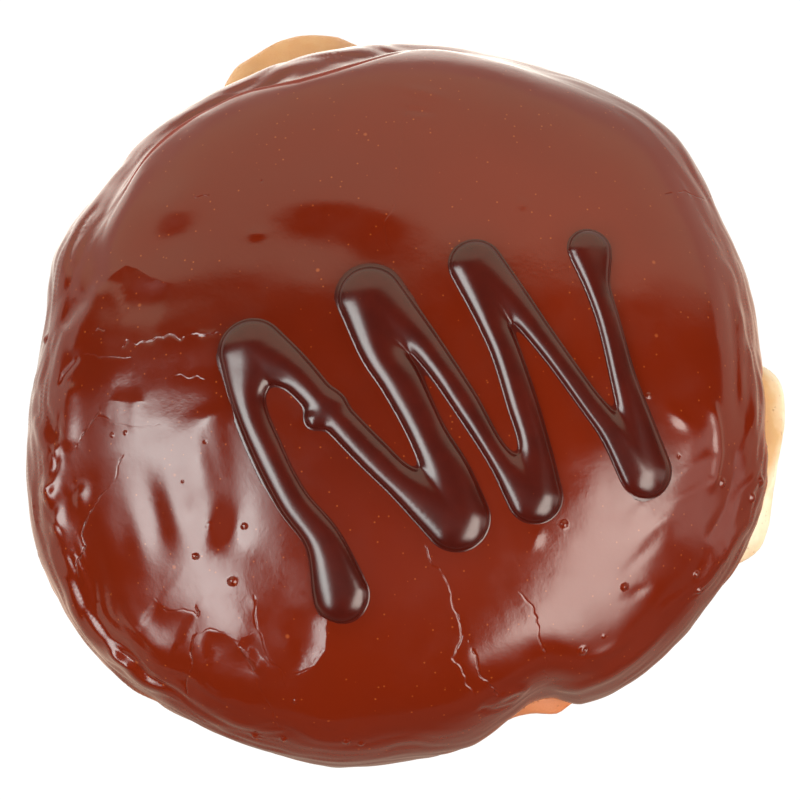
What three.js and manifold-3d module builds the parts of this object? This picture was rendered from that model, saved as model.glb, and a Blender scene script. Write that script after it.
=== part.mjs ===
// Boston cream doughnut: a round filled bun, a coat of milk chocolate icing over its crown, and one
// line of dark chocolate piped over the icing in a zigzag.
// Millimetres and degrees. +Z is up, the underside rests on z = 0, and the front faces -Y.
import * as THREE from 'three';
import { mergeVertices } from 'three/addons/utils/BufferGeometryUtils.js';
import Module from 'manifold-3d';

// ---- driving dimensions ----------------------------------------------------------------------

// The axis that the outline below is measured from stands a little off the origin, so that the
// origin is under the middle of the whole.
const AXIS_X = -0.3;
const AXIS_Y = -1.7;

const WIDEST_LEVEL = 17.5; // height of the bun's widest line
const CROWN_HEIGHT = 21.6; // from the widest line up to the icing's top
const FOOT_HEIGHT = 18.6; // from the widest line down to where the round underside would end
const CROWN_POWER = 2.3; // fullness of the crown: 2 is an ellipse, more is squarer
const FOOT_POWER = 2.7; // fullness of the lower half

const NOMINAL_RADIUS = 45; // of the crown, which is round down to ROUND_FALL
const ROUND_FALL = 45; // fall angle, from the top
const RIM_FALL = 85; // the rim has the outline's own radius from this fall angle down

const ICING_THICKNESS = 1.5;
const FIT_GAP = 0.4;
const TUCK_SPREAD = 2; // fall angle below the icing's edge that the dough stays tucked in
const SWELL_SPREAD = 9; // fall angle over which the dough then swells out to its own radius

// The uneven outline, anticlockwise from +X:
// azimuth, radius of the icing, radius of the dough, height of the icing's lower edge.
const OUTLINE = [
  [0, 44.1, 46.3, 22.0],
  [5, 43.9, 45.8, 21.0],
  [9, 43.8, 43.6, 18.5],
  [20, 44.6, 43.2, 15.5],
  [32, 45.4, 44.2, 14.0],
  [45, 47.2, 45.8, 14.5],
  [60, 46.1, 44.7, 13.5],
  [75, 45.4, 44.1, 15.0],
  [85, 45.3, 44.6, 17.5],
  [95, 45.0, 46.6, 19.5],
  [100, 45.0, 48.6, 20.2],
  [105, 45.1, 49.8, 20.5],
  [110, 45.2, 49.7, 20.5],
  [116, 45.3, 48.4, 20.0],
  [120, 45.4, 46.8, 19.5],
  [124, 45.5, 46.2, 19.0],
  [136, 46.1, 46.1, 18.5],
  [143, 45.8, 45.6, 17.0],
  [157, 46.6, 45.2, 14.5],
  [168, 44.8, 43.8, 13.5],
  [180, 45.2, 44.0, 13.0],
  [195, 47.1, 46.2, 14.5],
  [206, 48.5, 47.3, 17.5],
  [222, 48.7, 47.4, 15.5],
  [234, 47.4, 46.3, 17.5],
  [246, 46.1, 45.1, 15.0],
  [260, 45.4, 43.9, 13.5],
  [270, 44.0, 43.0, 14.0],
  [281, 43.0, 41.9, 17.0],
  [287, 41.7, 41.0, 19.0],
  [292, 40.7, 41.2, 19.5],
  [296, 40.9, 42.3, 18.5],
  [300, 42.7, 42.2, 15.5],
  [310, 44.2, 43.0, 16.5],
  [325, 44.6, 43.6, 18.5],
  [333, 45.3, 44.6, 19.0],
  [338, 45.4, 46.7, 19.5],
  [345, 45.6, 46.6, 21.0],
  [352, 44.8, 46.2, 22.0],
];

// The crease where the crown turns into its rim: azimuth, fall angle of its bottom, its depth, and
// the fall angle from its bottom to its shoulder.
const CREASE = [
  [0, 66, 0.8, 8],
  [25, 68, 0.5, 9],
  [50, 74, 0.3, 9],
  [72, 76, 0.8, 7],
  [87, 77, 1.3, 5.5],
  [100, 69.5, 1.5, 6],
  [110, 69, 1.6, 6],
  [120, 74, 1.7, 5.5],
  [138, 75.5, 1.4, 5.5],
  [152, 68, 0.9, 7.5],
  [165, 60, 0.7, 9],
  [190, 60, 0.7, 9],
  [212, 70, 0.8, 9],
  [235, 80, 0.3, 9],
  [290, 72, 0.0, 9],
  [325, 62, 0.2, 9],
  [345, 64, 0.7, 8],
];

// The zigzag: each stroke's points, as x, y and half the stroke's width. Neighbours share a turn.
const START_DROP = [-7.6, -27.7, 3.3];
const TURN_1 = [-18.1, 1.1, 3.9];
const TURN_2 = [6.0, -19.0, 3.8];
const TURN_3 = [-4.1, 7.4, 3.8];
const TURN_4 = [15.2, -16.2, 3.2];
const TURN_5 = [8.4, 11.5, 3.1];
const TURN_6 = [28.4, -12.5, 3.3];
const END_DROP = [22.0, 14.0, 2.6];
const STROKES = [
  [START_DROP, [-9.7, -21.5, 2.1], [-13.2, -16.9, 1.8], [-16.3, -10.9, 1.8], [-18.6, -4.4, 2.0], TURN_1],
  [TURN_1, [-13.4, -1.4, 2.2], [-9.4, -5.7, 1.8], [-4.0, -11.4, 1.8], [-0.4, -14.8, 1.9], TURN_2],
  [TURN_2, [4.9, -14.0, 2.7], [2.7, -9.3, 2.1], [-0.6, -2.7, 2.3], [-2.8, 0.9, 2.4], TURN_3],
  [TURN_3, [1.4, 2.7, 1.9], [3.7, -0.3, 1.6], [6.9, -5.1, 1.5], [11.3, -12.2, 1.4], TURN_4],
  [TURN_4, [15.3, -11.0, 1.8], [13.7, -5.0, 1.7], [11.8, 1.0, 1.6], [10.3, 4.7, 1.7], TURN_5],
  [TURN_5, [13.0, 6.9, 1.8], [16.7, 2.1, 1.35], [22.0, -5.1, 1.3], [24.4, -8.0, 1.6], TURN_6],
  [TURN_6, [27.8, -8.6, 2.3], [25.9, -1.9, 1.5], [24.1, 5.3, 1.3], [22.8, 9.6, 1.5], END_DROP],
];
const BEAD_BASE_RISE = 0.55; // a stroke stands this high, and higher by BEAD_RISE of its half width
const BEAD_RISE = 0.27;
const BEAD_SINK = 0.7; // depth of a stroke's underside in the icing

// ---- fineness of the faceted surfaces --------------------------------------------------------

const AZIMUTH_STEPS = 56;
const CROWN_ROWS = 15; // rows of facets from the icing's top to its edge
const LIP_ROWS = 3;
const FOOT_ROWS = 12; // rows of the bun's facets from below the icing's edge to the underside
const STROKE_SIDES = 10;
const STROKE_CAP_ROWS = 3;
const STROKE_PATH_ROWS = 9;

// ---- helpers ---------------------------------------------------------------------------------

const radians = THREE.MathUtils.degToRad;
const lerp = THREE.MathUtils.lerp;
const smoothstep = THREE.MathUtils.smoothstep;

// One column of a table round the bun at an azimuth, on a smooth closed curve through its rows.
function roundTable(table, column, azimuth) {
  const count = table.length;
  const angle = THREE.MathUtils.euclideanModulo(azimuth, 360);
  const last = table.findLastIndex((row) => row[0] <= angle);
  const row = (offset) => {
    const index = last + offset;
    const turn = Math.floor(index / count);
    const entry = table[THREE.MathUtils.euclideanModulo(index, count)];
    return [entry[0] + 360 * turn, entry[column]];
  };
  const [before, start, end, after] = [row(-1), row(0), row(1), row(2)];
  const step = end[0] - start[0];
  const startSlope = ((end[1] - before[1]) / (end[0] - before[0])) * step;
  const endSlope = ((after[1] - start[1]) / (after[0] - start[0])) * step;
  const t = (angle - start[0]) / step;
  const endShare = t * t * (3 - 2 * t);
  return lerp(start[1], end[1], endShare) + t * (1 - t) * ((1 - t) * startSlope - t * endSlope);
}

const signedPower = (value, power) => Math.sign(value) * Math.abs(value) ** power;

// Fall is the angle down from the crown: 0 at the top, 90 at the widest line, 180 underneath.
function profile(fall) {
  const power = 2 / (fall <= 90 ? CROWN_POWER : FOOT_POWER);
  return {
    out: signedPower(Math.sin(radians(fall)), power),
    up: signedPower(Math.cos(radians(fall)), power),
  };
}

// The fall angle at which the icing's outer face passes a height.
function fallAtHeight(height) {
  const above = height >= WIDEST_LEVEL;
  const share = (height - WIDEST_LEVEL) / (above ? CROWN_HEIGHT : FOOT_HEIGHT);
  const power = above ? CROWN_POWER : FOOT_POWER;
  return THREE.MathUtils.radToDeg(Math.acos(signedPower(share, power / 2)));
}

function creaseDepth(azimuth, fall) {
  const away = (fall - roundTable(CREASE, 1, azimuth)) / roundTable(CREASE, 3, azimuth);
  return roundTable(CREASE, 2, azimuth) * Math.exp(-away * away);
}

// A point at a radius and an inset from the icing's outer face, creased with it.
function shellPoint(azimuth, fall, radius, inset) {
  const { out, up } = profile(fall);
  const height = fall <= 90 ? CROWN_HEIGHT - inset : FOOT_HEIGHT;
  const rimShare = smoothstep(fall, ROUND_FALL, RIM_FALL);
  const roundedRadius = lerp(NOMINAL_RADIUS - inset, radius, rimShare);
  const shrink = 1 - creaseDepth(azimuth, fall) / roundedRadius;
  const reach = roundedRadius * out * shrink;
  return new THREE.Vector3(
    reach * Math.cos(radians(azimuth)),
    reach * Math.sin(radians(azimuth)),
    Math.max(0, WIDEST_LEVEL + height * up * shrink),
  );
}

// A closed body with a pole at each end, from a sphere whose rows and columns are placed anew.
function reshapedSphere(columns, rows, place) {
  const geometry = new THREE.SphereGeometry(1, columns, rows);
  const position = geometry.getAttribute('position');
  for (let row = 0; row <= rows; row += 1) {
    for (let column = 0; column <= columns; column += 1) {
      const point = place(row, column % columns);
      position.setXYZ(row * (columns + 1) + column, point.x, point.y, point.z);
    }
  }
  geometry.deleteAttribute('normal');
  geometry.deleteAttribute('uv');
  const closed = mergeVertices(geometry);
  closed.computeVertexNormals();
  return closed;
}

const azimuthOfColumn = (column) => (360 * column) / AZIMUTH_STEPS;

// ---- bun -------------------------------------------------------------------------------------

// Under the icing the dough keeps the fit gap to it, and below the edge it swells to its own radius.
function bunGeometry() {
  const inset = ICING_THICKNESS + FIT_GAP;
  return reshapedSphere(AZIMUTH_STEPS, CROWN_ROWS + 1 + FOOT_ROWS, (row, column) => {
    const azimuth = azimuthOfColumn(column);
    const edge = fallAtHeight(roundTable(OUTLINE, 3, azimuth));
    const tucked = edge + TUCK_SPREAD;
    const footShare = (row - CROWN_ROWS - 1) / FOOT_ROWS;
    const fall = row <= CROWN_ROWS ? (edge * row) / CROWN_ROWS : lerp(tucked, 180, footShare);
    const swell = smoothstep(fall, tucked, tucked + SWELL_SPREAD);
    const covered = roundTable(OUTLINE, 1, azimuth) - inset;
    const radius = lerp(covered, roundTable(OUTLINE, 2, azimuth), swell);
    return shellPoint(azimuth, fall, radius, inset);
  });
}

// ---- icing -----------------------------------------------------------------------------------

// The coat runs from its outer top down to the edge, round the lip, and back up its inner face.
function coatRow(row, edge, radius) {
  if (row <= CROWN_ROWS) {
    return { fall: (edge * row) / CROWN_ROWS, inset: 0 };
  }
  if (row >= CROWN_ROWS + LIP_ROWS) {
    const rowsToTop = 2 * CROWN_ROWS + LIP_ROWS - row;
    return { fall: (edge * rowsToTop) / CROWN_ROWS, inset: ICING_THICKNESS };
  }
  const lipAngle = (Math.PI * (row - CROWN_ROWS)) / LIP_ROWS;
  const lipFall = THREE.MathUtils.radToDeg(ICING_THICKNESS / 2 / radius);
  return {
    fall: edge + lipFall * Math.sin(lipAngle),
    inset: (ICING_THICKNESS * (1 - Math.cos(lipAngle))) / 2,
  };
}

function coatGeometry() {
  return reshapedSphere(AZIMUTH_STEPS, 2 * CROWN_ROWS + LIP_ROWS, (row, column) => {
    const azimuth = azimuthOfColumn(column);
    const radius = roundTable(OUTLINE, 1, azimuth);
    const edge = fallAtHeight(roundTable(OUTLINE, 3, azimuth));
    const { fall, inset } = coatRow(row, edge, radius);
    return shellPoint(azimuth, fall, radius - inset, inset);
  });
}

// Height and upward normal of the icing's outer face above a point of the plan.
function crownHeight(x, y) {
  const share = Math.hypot(x, y) / NOMINAL_RADIUS;
  return WIDEST_LEVEL + CROWN_HEIGHT * (1 - share ** CROWN_POWER) ** (1 / CROWN_POWER);
}

function crownNormal(x, y) {
  const step = 0.1;
  const slopeX = (crownHeight(x + step, y) - crownHeight(x - step, y)) / (2 * step);
  const slopeY = (crownHeight(x, y + step) - crownHeight(x, y - step)) / (2 * step);
  return new THREE.Vector3(-slopeX, -slopeY, 1).normalize();
}

// Where a row of facets crosses a stroke: its place in plan, its half width and its share of rise.
// The rows past either end of the path close the stroke with a round cap.
function strokeRow(path, row) {
  const rows = 2 * STROKE_CAP_ROWS + STROKE_PATH_ROWS;
  const along = THREE.MathUtils.clamp((row - STROKE_CAP_ROWS) / STROKE_PATH_ROWS, 0, 1);
  const capRow = Math.max(STROKE_CAP_ROWS - row, row - (rows - STROKE_CAP_ROWS), 0);
  const capAngle = (Math.PI / 2) * (capRow / STROKE_CAP_ROWS);
  const spot = path.getPointAt(along);
  const heading = path.getTangentAt(along).setZ(0).normalize();
  const halfWidth = spot.z;
  const past = Math.sin(capAngle) * halfWidth * (row < STROKE_CAP_ROWS ? -1 : 1);
  return {
    x: spot.x + heading.x * past,
    y: spot.y + heading.y * past,
    heading,
    halfWidth: halfWidth * Math.cos(capAngle),
    rise: (BEAD_BASE_RISE + BEAD_RISE * halfWidth) * Math.sqrt(Math.cos(capAngle)),
    sink: BEAD_SINK * Math.sqrt(Math.cos(capAngle)),
  };
}

// One stroke of the zigzag: a rounded bead of changing width, sunk a little into the icing.
function strokeGeometry(points) {
  const path = new THREE.CatmullRomCurve3(points.map((point) => new THREE.Vector3(...point)));
  const rows = 2 * STROKE_CAP_ROWS + STROKE_PATH_ROWS;
  return reshapedSphere(STROKE_SIDES, rows, (row, column) => {
    const { x, y, heading, halfWidth, rise, sink } = strokeRow(path, row);
    const around = (2 * Math.PI * column) / STROKE_SIDES;
    const normal = crownNormal(x, y);
    const aside = new THREE.Vector3().crossVectors(heading, normal).normalize();
    const lift = Math.sin(around) * (Math.sin(around) > 0 ? rise : sink);
    return new THREE.Vector3(x, y, crownHeight(x, y))
      .addScaledVector(aside, halfWidth * Math.cos(around))
      .addScaledVector(normal, lift);
  });
}

// ---- joining ---------------------------------------------------------------------------------

const wasm = await Module();
wasm.setup();

function solidOf(geometry) {
  const positions = geometry.getAttribute('position').array;
  const mesh = new wasm.Mesh({
    numProp: 3,
    vertProperties: Float32Array.from(positions),
    triVerts: Uint32Array.from(geometry.index.array),
  });
  return new wasm.Manifold(mesh);
}

function geometryOf(solid) {
  const mesh = solid.getMesh();
  const geometry = new THREE.BufferGeometry();
  geometry.setAttribute('position', new THREE.BufferAttribute(mesh.vertProperties, 3));
  geometry.setIndex(new THREE.BufferAttribute(mesh.triVerts, 1));
  geometry.computeVertexNormals();
  return geometry;
}

function icingGeometry() {
  const strokes = STROKES.map((points) => solidOf(strokeGeometry(points)));
  const iced = strokes.reduce((solid, stroke) => solid.add(stroke), solidOf(coatGeometry()));
  return geometryOf(iced);
}

// ---- the doughnut ----------------------------------------------------------------------------

function piece(name, geometry, color, roughness) {
  const material = new THREE.MeshStandardMaterial({ color, roughness, metalness: 0 });
  const mesh = new THREE.Mesh(geometry, material);
  mesh.name = name;
  mesh.position.set(AXIS_X, AXIS_Y, 0);
  return mesh;
}

const group = new THREE.Group();
group.add(piece('bun', bunGeometry(), 0xdb9a58, 0.8));
group.add(piece('icing', icingGeometry(), 0x8c3418, 0.2));
export default group;
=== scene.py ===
"""Boston cream doughnut: the looks of the bun, the coat of icing and the zigzag drizzle on it.

Lengths are millimetres and angles degrees until a mesh is made, which is in metres.
Places on the icing are given on its map: the icing unrolled flat round its top, so that a point's
distance from the map's middle is the way down the icing to it.
"""

import math

import bpy
import numpy as np
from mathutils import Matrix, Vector
from mathutils.geometry import tessellate_polygon


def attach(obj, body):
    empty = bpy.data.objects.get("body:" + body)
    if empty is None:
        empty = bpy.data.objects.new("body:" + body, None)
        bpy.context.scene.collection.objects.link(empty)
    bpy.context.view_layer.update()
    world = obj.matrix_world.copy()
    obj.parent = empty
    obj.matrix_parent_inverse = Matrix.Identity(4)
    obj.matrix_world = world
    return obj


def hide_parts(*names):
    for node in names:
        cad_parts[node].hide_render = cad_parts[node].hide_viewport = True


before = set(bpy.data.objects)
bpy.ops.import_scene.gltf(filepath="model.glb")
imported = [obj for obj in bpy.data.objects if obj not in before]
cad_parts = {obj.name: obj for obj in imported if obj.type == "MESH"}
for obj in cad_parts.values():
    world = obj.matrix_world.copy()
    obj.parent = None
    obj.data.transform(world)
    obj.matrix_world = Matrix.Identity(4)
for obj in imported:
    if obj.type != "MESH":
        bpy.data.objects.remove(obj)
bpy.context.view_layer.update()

MM = 0.001

# ---- the shape shared with the CAD source -------------------------------------------------------

AXIS_X = -0.3
AXIS_Y = -1.7
WIDEST_LEVEL = 17.5
CROWN_HEIGHT = 21.6
FOOT_HEIGHT = 18.6
CROWN_POWER = 2.3
FOOT_POWER = 2.7
ICING_THICKNESS = 1.5
FIT_GAP = 0.4
TUCK_SPREAD = 2
SWELL_SPREAD = 9
NOMINAL_RADIUS = 45  # of the crown, which is round down to ROUND_FALL
ROUND_FALL = 45
RIM_FALL = 85  # the rim has the outline's own radius from here down

# azimuth, radius of the icing, radius of the dough, height of the icing's lower edge
OUTLINE = np.array([
    [0, 44.1, 46.3, 22], [5, 43.9, 45.8, 21], [9, 43.8, 43.6, 18.5],
    [20, 44.6, 43.2, 15.5], [32, 45.4, 44.2, 14], [45, 47.2, 45.8, 14.5],
    [60, 46.1, 44.7, 13.5], [75, 45.4, 44.1, 15], [85, 45.3, 44.6, 17.5],
    [95, 45, 46.6, 19.5], [100, 45, 48.6, 20.2], [105, 45.1, 49.8, 20.5],
    [110, 45.2, 49.7, 20.5], [116, 45.3, 48.4, 20], [120, 45.4, 46.8, 19.5],
    [124, 45.5, 46.2, 19], [136, 46.1, 46.1, 18.5], [143, 45.8, 45.6, 17],
    [157, 46.6, 45.2, 14.5], [168, 44.8, 43.8, 13.5], [180, 45.2, 44, 13],
    [195, 47.1, 46.2, 14.5], [206, 48.5, 47.3, 17.5], [222, 48.7, 47.4, 15.5],
    [234, 47.4, 46.3, 17.5], [246, 46.1, 45.1, 15], [260, 45.4, 43.9, 13.5],
    [270, 44, 43, 14], [281, 43, 41.9, 17], [287, 41.7, 41, 19],
    [292, 40.7, 41.2, 19.5], [296, 40.9, 42.3, 18.5], [300, 42.7, 42.2, 15.5],
    [310, 44.2, 43, 16.5], [325, 44.6, 43.6, 18.5], [333, 45.3, 44.6, 19],
    [338, 45.4, 46.7, 19.5], [345, 45.6, 46.6, 21], [352, 44.8, 46.2, 22],
])

# The crease where the crown turns into its rim: azimuth, fall of its bottom, depth, and the fall
# from its bottom to its shoulder
CREASE = np.array([
    [0, 66, 0.8, 8], [25, 68, 0.5, 9], [50, 74, 0.3, 9], [72, 76, 0.8, 7],
    [87, 77, 1.3, 5.5], [100, 69.5, 1.5, 6], [110, 69, 1.6, 6], [120, 74, 1.7, 5.5],
    [138, 75.5, 1.4, 5.5], [152, 68, 0.9, 7.5], [165, 60, 0.7, 9], [190, 60, 0.7, 9],
    [212, 70, 0.8, 9], [235, 80, 0.3, 9], [290, 72, 0, 9], [325, 62, 0.2, 9],
    [345, 64, 0.7, 8],
])

# The zigzag: x, y and half the stroke's width, seen from above. Neighbours share a turn.
START_DROP = [-7.6, -27.7, 3.3]
TURN_1 = [-18.1, 1.1, 3.9]
TURN_2 = [6, -19, 3.8]
TURN_3 = [-4.1, 7.4, 3.8]
TURN_4 = [15.2, -16.2, 3.2]
TURN_5 = [8.4, 11.5, 3.1]
TURN_6 = [28.4, -12.5, 3.3]
END_DROP = [22, 14, 2.6]
TURNS = [TURN_1, TURN_2, TURN_3, TURN_4, TURN_5, TURN_6]
STROKES = [
    [START_DROP, [-9.7, -21.5, 2.1], [-13.2, -16.9, 1.8], [-16.3, -10.9, 1.8], [-18.6, -4.4, 2],
     TURN_1],
    [TURN_1, [-13.4, -1.4, 2.2], [-9.4, -5.7, 1.8], [-4, -11.4, 1.8], [-0.4, -14.8, 1.9],
     TURN_2],
    [TURN_2, [4.9, -14, 2.7], [2.7, -9.3, 2.1], [-0.6, -2.7, 2.3], [-2.8, 0.9, 2.4], TURN_3],
    [TURN_3, [1.4, 2.7, 1.9], [3.7, -0.3, 1.6], [6.9, -5.1, 1.5], [11.3, -12.2, 1.4], TURN_4],
    [TURN_4, [15.3, -11, 1.8], [13.7, -5, 1.7], [11.8, 1, 1.6], [10.3, 4.7, 1.7], TURN_5],
    [TURN_5, [13, 6.9, 1.8], [16.7, 2.1, 1.35], [22, -5.1, 1.3], [24.4, -8, 1.6], TURN_6],
    [TURN_6, [27.8, -8.6, 2.3], [25.9, -1.9, 1.5], [24.1, 5.3, 1.3], [22.8, 9.6, 1.5], END_DROP],
]
# Small waves of the icing's lower edge: count round the bun, fall either way, and start
EDGE_WAVES = [[17, 0.45, 1], [29, 0.35, 2.2], [47, 0.25, 4], [71, 0.15, 0.6]]
BEAD_BASE_RISE = 0.55
BEAD_RISE = 0.27


# ---- shape helpers ------------------------------------------------------------------------------

def round_table(table, column, azimuth):
    """A column of a table round the bun, on a smooth closed curve through its rows."""
    angle = np.mod(azimuth, 360.0)
    at = np.concatenate([table[-2:, 0] - 360, table[:, 0], table[:2, 0] + 360])
    value = np.concatenate([table[-2:, column], table[:, column], table[:2, column]])
    last = np.clip(np.searchsorted(at, angle, side="right") - 1, 1, len(at) - 3)
    step = at[last + 1] - at[last]
    start_slope = (value[last + 1] - value[last - 1]) / (at[last + 1] - at[last - 1]) * step
    end_slope = (value[last + 2] - value[last]) / (at[last + 2] - at[last]) * step
    t = (angle - at[last]) / step
    share = t * t * (3 - 2 * t)
    between = value[last] + (value[last + 1] - value[last]) * share
    return between + t * (1 - t) * ((1 - t) * start_slope - t * end_slope)


def signed_power(value, power):
    return np.sign(value) * np.abs(value) ** power


def smoothstep(value, start, end):
    t = np.clip((value - start) / (end - start), 0, 1)
    return t * t * (3 - 2 * t)


def profile(fall):
    """Share outwards and upwards at a fall, the angle down from the crown."""
    power = 2 / np.where(fall <= 90, CROWN_POWER, FOOT_POWER)
    radians = np.radians(fall)
    return signed_power(np.sin(radians), power), signed_power(np.cos(radians), power)


def fall_at_height(height):
    above = height >= WIDEST_LEVEL
    share = (height - WIDEST_LEVEL) / np.where(above, CROWN_HEIGHT, FOOT_HEIGHT)
    power = np.where(above, CROWN_POWER, FOOT_POWER)
    return np.degrees(np.arccos(signed_power(share, power / 2)))


def icing_edge(azimuth):
    """The fall of the icing's lower edge, with its small waves."""
    radians = np.radians(azimuth)
    waves = sum(share * np.sin(count * radians + turn) for count, share, turn in EDGE_WAVES)
    return fall_at_height(round_table(OUTLINE, 3, azimuth)) + waves


def crease_depth(azimuth, fall):
    away = (fall - round_table(CREASE, 1, azimuth)) / round_table(CREASE, 3, azimuth)
    return round_table(CREASE, 2, azimuth) * np.exp(-away * away)


def shell_points(azimuth, fall, radius, inset):
    """Points at a radius and an inset from the icing's outer face, creased with it."""
    out, up = profile(fall)
    height = np.where(fall <= 90, CROWN_HEIGHT - inset, FOOT_HEIGHT)
    rim_share = smoothstep(fall, ROUND_FALL, RIM_FALL)
    radius = NOMINAL_RADIUS - inset + (radius - NOMINAL_RADIUS + inset) * rim_share
    shrink = 1 - crease_depth(azimuth, fall) / radius
    reach = radius * out * shrink
    radians = np.radians(azimuth)
    level = np.maximum(0, WIDEST_LEVEL + height * up * shrink)
    return np.stack([reach * np.cos(radians), reach * np.sin(radians), level], axis=-1)


# The way down the icing from its top, at every fall
FALLS = np.linspace(0, 180, 3601)
_out, _up = profile(FALLS)
_level = np.where(FALLS <= 90, CROWN_HEIGHT, FOOT_HEIGHT) * _up
WAYS = np.concatenate([[0], np.cumsum(np.hypot(np.diff(NOMINAL_RADIUS * _out), np.diff(_level)))])


def way_down(fall):
    return np.interp(fall, FALLS, WAYS)


def from_map(spots):
    """Azimuth and fall of spots on the icing's map."""
    azimuth = np.degrees(np.arctan2(spots[..., 1], spots[..., 0]))
    return azimuth, np.interp(np.hypot(spots[..., 0], spots[..., 1]), WAYS, FALLS)


def to_map(azimuth, fall):
    way, radians = way_down(fall), np.radians(azimuth)
    return np.stack([way * np.cos(radians), way * np.sin(radians)], axis=-1)


def plan_to_map(x, y):
    """The spot on the icing's map of a point seen from above."""
    azimuth = np.degrees(np.arctan2(y, x))
    share = np.hypot(x, y) / NOMINAL_RADIUS
    return to_map(azimuth, np.degrees(np.arcsin(share ** (CROWN_POWER / 2))))


def icing_shell(spots):
    azimuth, fall = from_map(spots)
    return shell_points(azimuth, fall, round_table(OUTLINE, 1, azimuth), 0)


def icing_normals(spots):
    step = 0.05
    east, north = np.array([step, 0]), np.array([0, step])
    along_x = icing_shell(spots + east) - icing_shell(spots - east)
    along_y = icing_shell(spots + north) - icing_shell(spots - north)
    normals = np.cross(along_x, along_y)
    return normals / np.linalg.norm(normals, axis=-1, keepdims=True)


# ---- mesh helpers -------------------------------------------------------------------------------

def split_long_edges(spots, triangles, target):
    """One round of cutting each edge that is too long for its place, and the longest edge of every
    triangle that has a cut one, so that triangles stay well shaped."""
    corners = np.array([[0, 1], [1, 2], [2, 0]])
    ends = np.sort(triangles[:, corners], axis=2)
    pairs, edge_of = np.unique(ends.reshape(-1, 2), axis=0, return_inverse=True)
    edge_of = edge_of.reshape(-1, 3)
    lengths = np.linalg.norm(spots[pairs[:, 0]] - spots[pairs[:, 1]], axis=1)
    middles = (spots[pairs[:, 0]] + spots[pairs[:, 1]]) / 2
    cut = lengths > 1.4 * target(middles)
    longest = edge_of[np.arange(len(triangles)), np.argmax(lengths[edge_of], axis=1)]
    while True:
        wanted = longest[cut[edge_of].any(axis=1)]
        if cut[wanted].all():
            break
        cut[wanted] = True
    if not cut.any():
        return spots, triangles, False
    middle_of = np.full(len(pairs), -1)
    middle_of[cut] = len(spots) + np.arange(cut.sum())
    turn = np.argmax(lengths[edge_of], axis=1)
    rows = np.arange(len(triangles))
    a, b, c = (triangles[rows, (turn + k) % 3] for k in range(3))
    ab, bc, ca = (middle_of[edge_of[rows, (turn + k) % 3]] for k in range(3))
    whole = ab < 0
    parts = [triangles[whole]]
    for side, plain, halves in (
        (bc, (ab, b, c), ((ab, b, bc), (ab, bc, c))),
        (ca, (a, ab, c), ((a, ab, ca), (ca, ab, c))),
    ):
        parts.append(np.stack(plain, 1)[~whole & (side < 0)])
        parts += [np.stack(half, 1)[~whole & (side >= 0)] for half in halves]
    return np.concatenate([spots, middles[cut]]), np.concatenate(parts), True


def refine(spots, triangles, target, rounds):
    for _ in range(rounds):
        spots, triangles, changed = split_long_edges(spots, triangles, target)
        if not changed:
            break
    return spots, triangles


def disc(rings):
    """A flat disc of radius 1 as rings of even triangles."""
    spots = [[0.0, 0.0]]
    for ring in range(1, rings + 1):
        turn = 2 * math.pi * np.arange(6 * ring) / (6 * ring)
        spots.extend(np.stack([np.cos(turn), np.sin(turn)], 1) * ring / rings)
    triangles = []
    for ring in range(1, rings + 1):
        outer = 1 + 3 * ring * (ring - 1)
        inner = 1 + 3 * (ring - 1) * (ring - 2) if ring > 1 else 0
        around_outer, around_inner = 6 * ring, max(6 * (ring - 1), 1)
        for sector in range(6):
            for step in range(ring):
                near = outer + sector * ring + step
                far = outer + (sector * ring + step + 1) % around_outer
                below = inner + (sector * (ring - 1) + step) % around_inner
                triangles.append([below, near, far])
                if step:
                    before = inner + (sector * (ring - 1) + step - 1) % around_inner
                    triangles.append([before, near, below])
    return np.array(spots), np.array(triangles)


def border_edges(triangles):
    """The edges that only one triangle has, as starts and ends."""
    edges = triangles[:, [[0, 1], [1, 2], [2, 0]]].reshape(-1, 2).astype(np.int64)
    count = edges.max() + 1
    lone = ~np.isin(edges[:, 0] * count + edges[:, 1], edges[:, 1] * count + edges[:, 0])
    return edges[lone]


def border_loop(triangles):
    """The border's vertices of a mesh with one border, in order, the mesh on their left."""
    edges = border_edges(triangles)
    follow = dict(edges.tolist())
    loop = [min(follow)]
    for _ in range(len(edges) - 1):
        loop.append(follow[loop[-1]])
    if len(set(loop)) != len(edges):
        raise ValueError("the mesh has more than one border")
    return np.array(loop)


def close_with_rows(points, triangles, loop, rows):
    """Sews rows of points onto a border, one after the other. A last row of one point closes it."""
    before = loop
    for row in rows:
        new = len(points) + np.arange(len(row))
        points = np.concatenate([points, row])
        ahead = np.roll(before, -1)
        if len(row) == 1:
            tip = np.full(len(before), new[0])
            triangles = np.concatenate([triangles, np.stack([ahead, before, tip], 1)])
            break
        new_ahead = np.roll(new, -1)
        triangles = np.concatenate([
            triangles,
            np.stack([ahead, before, new], 1),
            np.stack([ahead, new, new_ahead], 1),
        ])
        before = new
    return points, triangles


def make_piece(name, points, triangles, material, **shares):
    """A smooth-shaded object from points in millimetres round the outline's axis. The shares are
    numbers that its points keep for the material."""
    mesh = bpy.data.meshes.new(name)
    mesh.from_pydata(((points + [AXIS_X, AXIS_Y, 0]) * MM).tolist(), [], triangles.tolist())
    mesh.validate()
    for share, values in shares.items():
        mesh.attributes.new(share, "FLOAT", "POINT").data.foreach_set("value", values)
    mesh.shade_smooth()
    mesh.materials.append(material)
    piece = bpy.data.objects.new(name, mesh)
    bpy.context.collection.objects.link(piece)
    return piece


# ---- noise and lines on the map -----------------------------------------------------------------

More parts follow.
